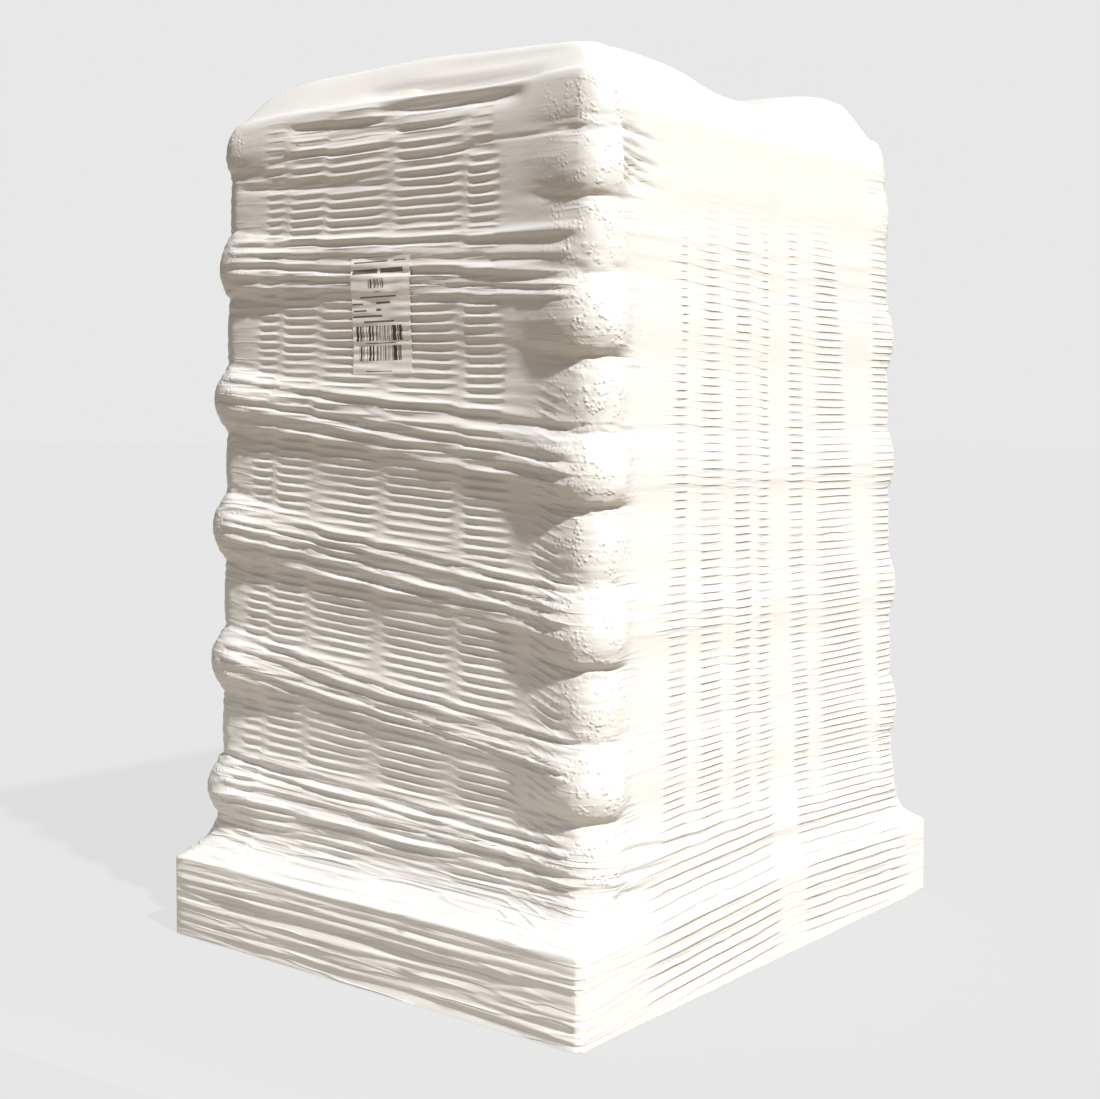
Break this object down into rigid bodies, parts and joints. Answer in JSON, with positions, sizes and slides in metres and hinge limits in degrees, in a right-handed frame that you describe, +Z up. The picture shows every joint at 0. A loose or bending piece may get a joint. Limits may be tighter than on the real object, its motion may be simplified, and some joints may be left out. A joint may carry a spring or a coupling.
{
  "type": "pallet of sacks",
  "caption": "Full pallet load of filled sacks in interlocked layers on a wooden block pallet, wrapped to the floor in a stretched white film hood with a paper label.",
  "frame": {"origin": "on the floor, under the middle of the pallet", "axes": "+Z up; -Y is the 1000 mm side with the shipping label, and +X is a 1200 mm side with the hood's gusset crease"},
  "size_m": [1.0129, 1.2108, 1.6704],
  "materials": {
    "hood_film": "opaque white polyethylene film, satin, stretched and rippled",
    "sack_film": "plain polyethylene sack film, satin",
    "pallet_wood": "sawn softwood, untreated",
    "label_paper": "coated label paper, matt"
  },
  "bodies": {
    "root": {"pallet_skid_1": "pallet_wood", "pallet_skid_2": "pallet_wood", "pallet_skid_3": "pallet_wood", "pallet_block_1": "pallet_wood", "pallet_block_2": "pallet_wood", "pallet_block_3": "pallet_wood", "pallet_block_4": "pallet_wood", "pallet_block_5": "pallet_wood", "pallet_block_6": "pallet_wood", "pallet_block_7": "pallet_wood", "pallet_block_8": "pallet_wood", "pallet_block_9": "pallet_wood", "pallet_stringer_1": "pallet_wood", "pallet_stringer_2": "pallet_wood", "pallet_stringer_3": "pallet_wood", "pallet_deck_board_1": "pallet_wood", "pallet_deck_board_2": "pallet_wood", "pallet_deck_board_3": "pallet_wood", "pallet_deck_board_4": "pallet_wood", "pallet_deck_board_5": "pallet_wood", "pallet_deck_board_6": "pallet_wood", "pallet_deck_board_7": "pallet_wood", "sack_layer_01": "sack_film", "sack_layer_02": "sack_film", "sack_layer_03": "sack_film", "sack_layer_04": "sack_film", "sack_layer_05": "sack_film", "sack_layer_06": "sack_film", "sack_layer_07": "sack_film", "sack_layer_08": "sack_film", "sack_layer_09": "sack_film", "sack_layer_10": "sack_film", "sack_layer_11": "sack_film", "sack_layer_12": "sack_film", "film_hood": "hood_film", "shipping_label": "label_paper"}
  },
  "joints": []
}
